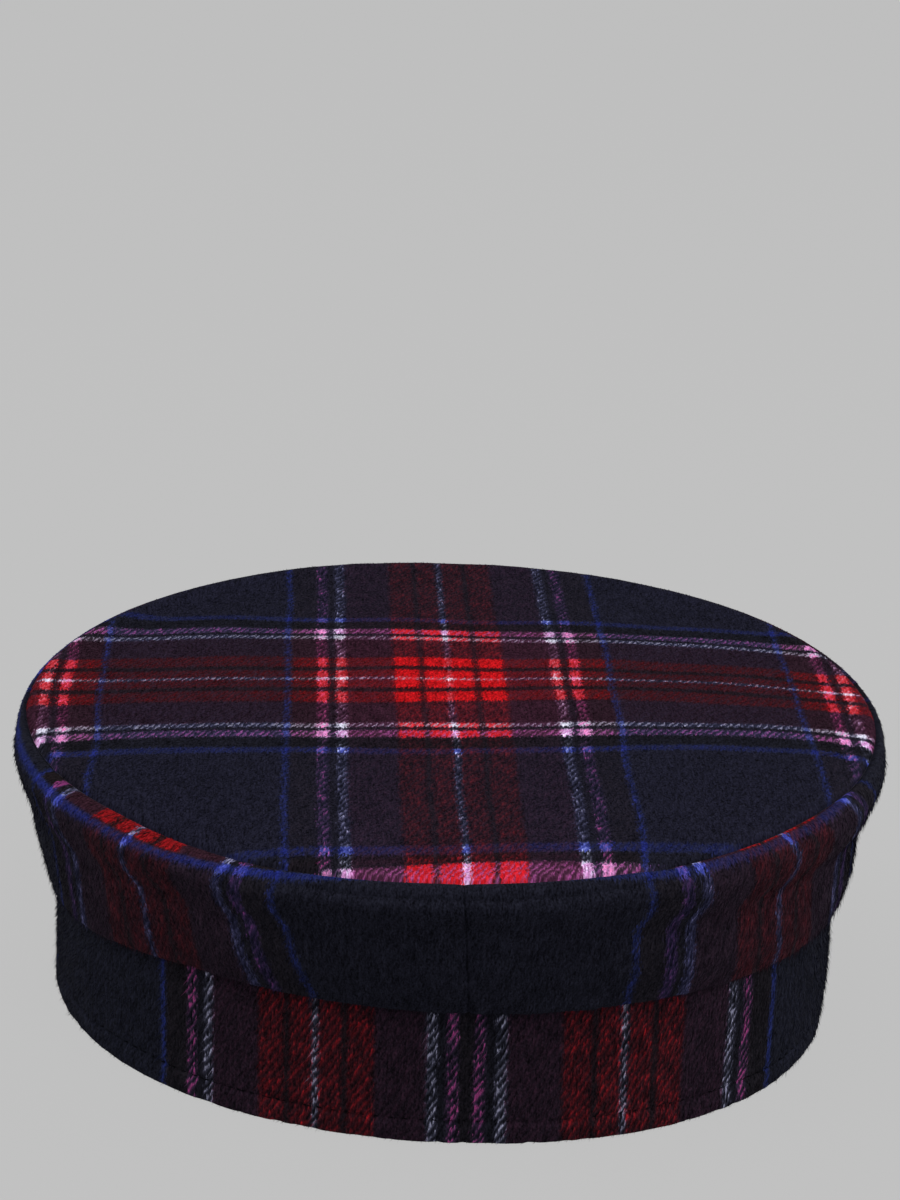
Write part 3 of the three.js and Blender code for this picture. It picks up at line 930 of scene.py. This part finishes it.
peakValues = {
    "reach": 47.0,
    "taper": 1.55,
    "halfAngle": 51.0,
    "wall": 3.0,
    "seat": 0.6,  # height of its root over the band's lower edge
    "arch": 1.25,
    "stitchInset": 4.5,  # of the row of stitches from the outer edge
    "stitchPitch": 3.0,
    "stitchDent": 0.35,
    "gap": 0.05,  # to the band
    "setPlace": 118.0,  # of the band's middle in the cloth, lengthwise
}


def peakLength(sweep):
    return peakValues["reach"] * np.cos(sweep) ** peakValues["taper"]


def peakRound(sweep):
    return np.minimum(peakValues["wall"] / 2, peakLength(sweep) / 3)


# Angle, way out and height of the lower face, or of a face raised over it.
def peakSection(sweep, shares, raised):
    angle = 90 + peakValues["halfAngle"] * np.sin(sweep)
    seat = liftAt(bandPoint(angle)[1]) + peakValues["seat"]
    seatFront = liftAt(bandPoint(90.0)[1]) + peakValues["seat"]
    length = peakLength(sweep)
    out = (length - peakRound(sweep)) * shares
    z = seat - seatFront * length * (out / length) ** peakValues["arch"] / peakValues["reach"]
    return angle, out, z + raised


# One face with its stitched dent, as points and how full the nap is on it.
def peakFlat(sweeps, shares, raised):
    sweepGrid, shareGrid = np.meshgrid(sweeps, shares, indexing="ij")
    angle, out, z = peakSection(sweepGrid, shareGrid, raised)
    inset = peakValues["stitchInset"]
    length = peakLength(sweepGrid)
    fromEdge = length - out
    sign = 1 if raised else -1
    fade = smoothStep(6, 14, length)
    relief = -peakValues["stitchDent"] * bump(fromEdge - inset, 0.8) + 0.2 * bump(fromEdge - inset / 2, 1.6)
    relief = relief * fade + 0.1 * unevenness(np.stack([angle, out], -1), 16, 40 + sign)
    z = z + relief * sign * smoothStep(0, 3, fromEdge - 1.5)
    out = out - 0.25 * (shareGrid == 0) + peakValues["gap"]  # the root reaches into the band
    return outFromBand(angle, out, z), 0.8 - 0.6 * bump(fromEdge - inset, 0.7) * fade


def peakNose(sweeps):
    sweepGrid, turn = np.meshgrid(sweeps, np.radians(np.linspace(-75, 75, 9)), indexing="ij")
    angle, out, z = peakSection(sweepGrid, 1.0, 0)
    half = peakValues["wall"] / 2
    out = out + peakRound(sweepGrid) * np.cos(turn) + peakValues["gap"]
    return outFromBand(angle, out, z + half + half * np.sin(turn)), np.full(out.shape, 0.6)


def makePeak():
    sweeps = np.radians(np.linspace(-86, 86, 190))
    wall = peakValues["wall"]
    rise = np.linspace(0, 1, 40)
    parts = (peakFlat(sweeps, rise, 0), peakNose(sweeps), peakFlat(sweeps, rise[::-1], wall))
    loops, full = (np.concatenate([part[k] for part in parts], 1) for k in (0, 1))
    x, y = loops[..., 0], loops[..., 1]
    cloth = np.stack([x, peakValues["setPlace"] - y, x, y], -1)
    finishes = [cloths["peak"], cloths["peak"]]
    piece = bodyThroughLoops("peak_cloth_cover", loops, cloth, [0] * loops.shape[1], finishes)
    sewn = np.radians(np.linspace(-66, 66, 160))
    share = 1 - peakValues["stitchInset"] / peakLength(sewn)
    angle, out, z = peakSection(sewn, share, wall - 0.3)
    return piece, (loops, cloth, np.zeros(loops.shape[:2]), full), outFromBand(angle, out, z)


peakPiece, peakFace, peakRow = makePeak()
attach(peakPiece, "root")
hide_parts("peak")
print("peak made")


# A geometry tree with named inputs, each a name and its kind.
def startTree(name, inputs):
    tree = bpy.data.node_groups.new(name, "GeometryNodeTree")
    tree.interface.new_socket("Face", in_out="INPUT", socket_type="NodeSocketGeometry")
    for label, kind in inputs:
        tree.interface.new_socket(label, in_out="INPUT", socket_type="NodeSocket" + kind)
    tree.interface.new_socket("Grown", in_out="OUTPUT", socket_type="NodeSocketGeometry")
    return tree, Wire(tree).make("NodeGroupInput")


def endTree(tree, grown, finish):
    start = Wire(tree)
    real = start.make("GeometryNodeRealizeInstances", {}, {"Geometry": grown}, "Geometry")
    smooth = start.make("GeometryNodeSetShadeSmooth", {}, {"Geometry": real}, "Geometry")
    worn = start.make("GeometryNodeSetMaterial", {}, {"Geometry": smooth, "Material": finish}, "Geometry")
    start.make("NodeGroupOutput", {}, {"Grown": worn})


# The mesh that a tree grows on an object, which is then taken away.
def growOn(base, tree, values):
    modifier = base.modifiers.new("grow", "NODES")
    modifier.node_group = tree
    for item in tree.interface.items_tree:
        if item.in_out == "INPUT" and item.name in values:
            modifier[item.identifier] = values[item.name]
    graph = bpy.context.evaluated_depsgraph_get()
    mesh = bpy.data.meshes.new_from_object(
        base.evaluated_get(graph), preserve_all_data_layers=True, depsgraph=graph)
    base.modifiers.clear()
    spent = base.data
    bpy.data.objects.remove(base)
    bpy.data.meshes.remove(spent)
    return mesh


# the tree's own inputs, in metres, then what differs by piece
napValues = {
    "inputs": {
        "Length": 0.0021,
        "Width": 0.00007,  # half the thickness of a fibre at its root
        "Rise": 0.3,
        "Spread": 0.5,
    },
    # fibres on each square metre
    "density": {"top": 1100000.0, "side": 1200000.0, "band": 1100000.0, "peak": 900000.0},
    "colourStray": 0.28,  # mm from a fibre's root to where its colour is taken
}


def makeNapTree():
    tree, given = startTree("brushedNap", (
        ("Density", "Float"), ("Length", "Float"), ("Width", "Float"), ("Rise", "Float"),
        ("Spread", "Float"), ("Seed", "Int"), ("Finish", "Material")))
    start = Wire(tree)

    # random vectors or numbers, by the kind of the lowest
    def dice(low, high, shift):
        kind, first, output = ("FLOAT_VECTOR", 0, 0) if isinstance(low, tuple) else ("FLOAT", 2, 1)
        return start.make("FunctionNodeRandomValue", {"data_type": kind}, {
            first: low, first + 1: high, "Seed": given.beside("Seed") + shift}, output)

    def stored(name):
        return start.make(
            "GeometryNodeInputNamedAttribute", {"data_type": "FLOAT_VECTOR"}, {"Name": name}, "Attribute")

    points = start.make("GeometryNodeDistributePointsOnFaces", {"distribute_method": "RANDOM"}, {
        "Mesh": given, "Density": given.beside("Density"), "Seed": given.beside("Seed")}, "Points")
    lifted = start.vector("SCALE", points.beside("Normal"), given.beside("Rise"))
    strayed = start.vector("SCALE", dice((-0.5, -0.5, -0.5), (0.5, 0.5, 0.5), 1), given.beside("Spread"))
    aim = start.vector("ADD", start.vector("ADD", lifted, strayed), stored("napWay"))
    turn = start.make("FunctionNodeAlignRotationToVector", {"axis": "Z"}, {"Vector": aim}, "Rotation")
    full = start.make("ShaderNodeSeparateXYZ", {}, {0: stored("rootWeave")}, "Z")
    length = given.beside("Length") * dice(0.45, 1.35, 2) * full
    width = dice(0.65, 1.25, 3)
    size = start.make("ShaderNodeCombineXYZ", {}, {0: width, 1: width, 2: length})
    fibre = start.make("GeometryNodeMeshCone", {"fill_type": "NGON"}, {
        "Vertices": 3, "Side Segments": 1, "Radius Top": 0.0,
        "Radius Bottom": given.beside("Width"), "Depth": 1.0}, "Mesh")
    grown = start.make("GeometryNodeInstanceOnPoints", {}, {
        "Points": points, "Instance": fibre, "Rotation": turn, "Scale": size}, "Instances")
    endTree(tree, grown, given.beside("Finish"))
    return tree


# Each fibre takes the colour that the cloth has at its root.
def growNap(name, face, kind, outward, seed):
    base = openFace(name + "_face", *face, clothLooks[kind]["napAngle"], outward)
    mesh = growOn(base, napTree, {
        "Density": napValues["density"][kind], "Seed": seed, "Finish": cloths[kind], **napValues["inputs"]})
    mesh.name = name
    count = len(mesh.vertices)
    places = np.zeros(count * 3, dtype=np.float32)
    mesh.vertices.foreach_get("co", places)
    places[2::3] = np.maximum(places[2::3], 0)  # none goes into the ground
    mesh.vertices.foreach_set("co", places)
    roots = {}
    for label in ("rootCloth", "rootWeave"):
        values = np.zeros(count * 3, dtype=np.float32)
        mesh.attributes[label].data.foreach_get("vector", values)
        roots[label] = values.reshape(-1, 3)
    corner = np.zeros(len(mesh.loops), dtype=np.int32)
    mesh.loops.foreach_get("vertex_index", corner)
    fibre = np.arange(count) // 4
    dice = np.random.default_rng(seed)
    stray = dice.normal(0, napValues["colourStray"], (fibre[-1] + 1, 2))[fibre]
    # a small cell of its own for each fibre on the map that a bake would use
    side = math.ceil(math.sqrt(fibre[-1] + 1))
    turn = np.arange(count) % 4 * math.pi / 2
    cellX, cellY = fibre % side + 0.5 + 0.35 * np.cos(turn), fibre // side + 0.5 + 0.35 * np.sin(turn)
    for label, places in (
        ("cloth", roots["rootCloth"][:, :2] + stray),
        ("weave", roots["rootWeave"][:, :2]),
        ("OFBake", np.stack([cellX, cellY], -1) / side),
    ):
        mesh.uv_layers.new(name=label).data.foreach_set("uv", places[corner].ravel().astype(np.float32))
    setWarpFace(mesh, roots["rootCloth"][:, 2])
    for label in ("rootCloth", "rootWeave", "napWay"):
        mesh.attributes.remove(mesh.attributes[label])
    print(name, count // 4, "fibres,", len(mesh.polygons), "faces")
    return addObject(name, mesh)


napTree = makeNapTree()
for name, face, kind, outward, seed in (
    ("nap_top", topFace, "top", (0, 0, 1), 11),
    ("nap_side_left", leftFace, "side", (-1, 0, 0), 12),
    ("nap_side_right", rightFace, "side", (1, 0, 0), 13),
    ("nap_band", bandFace, "band", (0, -1, 0), 14),
    ("nap_peak", peakFace, "peak", (0, 1, 0), 15),
):
    nap = growNap(name, face, kind, outward, seed)
    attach(nap, "root")
    kind + "_cloth"
print("nap grown")


threadValues = {
    "thickness": 0.55,
    "share": 0.74,  # of the pitch that a stitch takes up
    "sunk": 0.2,  # by which a row of stitches lies in the cloth
    # near black: partly the thread's own dark colour, partly painted shade of the groove the stitches sit in
    "colour": (5, 5, 8),
    "roughness": 0.8,
    "specular": 0.02,
}


def makeThread(name, colour):
    material = bpy.data.materials.new(name)
    material.use_nodes = True
    shader = material.node_tree.nodes["Principled BSDF"]
    shader.inputs["Base Color"].default_value = (*linear(*colour), 1)
    shader.inputs["Roughness"].default_value = threadValues["roughness"]
    shader.inputs["Specular IOR Level"].default_value = threadValues["specular"]
    return material


# Stitches one after another along a line: each a short rounded length of thread.
def makeStitchTree():
    tree, given = startTree("stitchRow", (
        ("Pitch", "Float"), ("Share", "Float"), ("Thickness", "Float"), ("Finish", "Material")))
    start = Wire(tree)
    line = start.make("GeometryNodeMeshToCurve", {}, {"Mesh": given}, "Curve")
    even = start.make("GeometryNodeResampleCurve", {"mode": "LENGTH"}, {
        "Curve": line, "Length": given.beside("Pitch")}, "Curve")
    along = start.make("GeometryNodeInputTangent", {}, {}, "Tangent")
    turn = start.make("FunctionNodeAlignRotationToVector", {"axis": "Z"}, {"Vector": along}, "Rotation")
    bead = start.make("GeometryNodeMeshUVSphere", {}, {"Segments": 6, "Rings": 5, "Radius": 0.5}, "Mesh")
    size = start.make("ShaderNodeCombineXYZ", {}, {
        0: given.beside("Thickness"), 1: given.beside("Thickness"),
        2: given.beside("Pitch") * given.beside("Share")})
    sewn = start.make("GeometryNodeInstanceOnPoints", {}, {
        "Points": even, "Instance": bead, "Rotation": turn, "Scale": size}, "Instances")
    endTree(tree, sewn, given.beside("Finish"))
    return tree


def sewRow(name, line, pitch, finish):
    mesh = bpy.data.meshes.new(name + "_line")
    edges = [(k, k + 1) for k in range(len(line) - 1)]
    mesh.from_pydata(inMetres(line), edges, [])
    sewn = growOn(addObject(name + "_line", mesh), stitchTree, {
        "Pitch": pitch * 0.001, "Share": threadValues["share"],
        "Thickness": threadValues["thickness"] * 0.001, "Finish": finish})
    sewn.name = name
    print(name, len(sewn.polygons), "faces")
    return addObject(name, sewn)


stitchTree = makeStitchTree()
seamThread = makeThread("seamThread", threadValues["colour"])
bandGrid, bandPlaces = bandFace[:2]
row = int(np.argmin(np.abs(bandPlaces[0, :, 3] - bandValues["stitchHeight"])))
outward = outwardOf(bandGrid)[:, row]
outward *= np.sign(outward[len(outward) // 2, 1] * -1)
bandRow = bandGrid[:, row] - outward * threadValues["sunk"]
for name, line, pitch in (
    ("hem_stitches", bandRow, bandValues["stitchPitch"]),
    ("peak_stitches", peakRow, peakValues["stitchPitch"]),
):
    stitches = sewRow(name, line, pitch, seamThread)
    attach(stitches, "root")
print("stitches sewn")


studio = {
    "floorHalf": 6.0,  # metres
    "floorGrey": 0.527,
    "floorGlow": 0.95,  # share of its own light
    "floorPlain": 0.62,
    # place, size and power of each soft light
    "lights": {
        "keyLight": ((-0.35, -0.55, 1.25), (1.1, 0.9), 9.0),
        "fillLight": ((0.9, -0.9, 0.7), (0.9, 0.9), 4.0),
        "edgeLightLeft": ((-1.2, 0.15, 0.4), (0.8, 0.8), 4.5),
        "edgeLightRight": ((1.2, 0.05, 0.4), (0.8, 0.8), 8.0),
    },
}


def makeFloor():
    mesh = bpy.data.meshes.new("floor")
    half = studio["floorHalf"]
    corners = [(-half, -half, 0), (half, -half, 0), (half, half, 0), (-half, half, 0)]
    mesh.from_pydata(corners, [], [(0, 1, 2, 3)])
    material, start = startMaterial("paleFloor")
    grey, plain = (studio["floorGrey"],) * 3 + (1,), (studio["floorPlain"],) * 3 + (1,)
    glow = start.make("ShaderNodeEmission", {}, {"Color": grey, "Strength": 1.0})
    matt = start.make("ShaderNodeBsdfDiffuse", {}, {"Color": plain})
    both = start.make("ShaderNodeMixShader", {}, {0: studio["floorGlow"], 1: matt, 2: glow})
    start.make("ShaderNodeOutputMaterial", {}, {"Surface": both})
    mesh.materials.append(material)
    floor = addObject("floor", mesh)


def makeLight(name, target, place, size, power):
    data = bpy.data.lights.new(name, "AREA")
    data.shape = "RECTANGLE"
    data.size, data.size_y = size
    data.energy = power
    light = addObject(name, data)
    light.location = place
    light.rotation_mode = "QUATERNION"
    light.rotation_quaternion = (target - Vector(place)).to_track_quat("-Z", "Y")


makeFloor()
middle = Vector((cadBox[0] + cadBox[1]) / 2)
for name, light in studio["lights"].items():
    makeLight(name, middle, *light)

world = bpy.data.worlds.new("studioAir")
world.use_nodes = True
air = world.node_tree.nodes["Background"]
air.inputs["Color"].default_value = (studio["floorGrey"],) * 3 + (1,)
air.inputs["Strength"].default_value = 1.0
scene.world = world
scene.view_settings.view_transform = "Standard"
scene.view_settings.look = "None"
scene.view_settings.exposure = 0
scene.view_settings.gamma = 1

# metres, radians, and mm for the focal length and the sensor
lens = {
    "place": (-0.0493, -0.7672, 0.3460),
    "heading": 0.0632,
    "pitch": 0.3169,  # downwards
    "roll": 0.0594,
    "focal": 97.4,
    "sensor": 36,
    "clip": (0.05, 50),
}
cameraData = bpy.data.cameras.new("camera")
cameraData.lens = lens["focal"]
cameraData.sensor_width = lens["sensor"]
cameraData.clip_start, cameraData.clip_end = lens["clip"]
camera = addObject("camera", cameraData)
a, p = lens["heading"], lens["pitch"]
forward = Vector((math.sin(a) * math.cos(p), math.cos(a) * math.cos(p), -math.sin(p)))
camera.location = lens["place"]
camera.rotation_mode = "QUATERNION"
level = forward.to_track_quat("-Z", "Y")
camera.rotation_quaternion = level @ Matrix.Rotation(lens["roll"], 3, "Z").to_quaternion()
scene.camera = camera
print("floor, light and camera made")
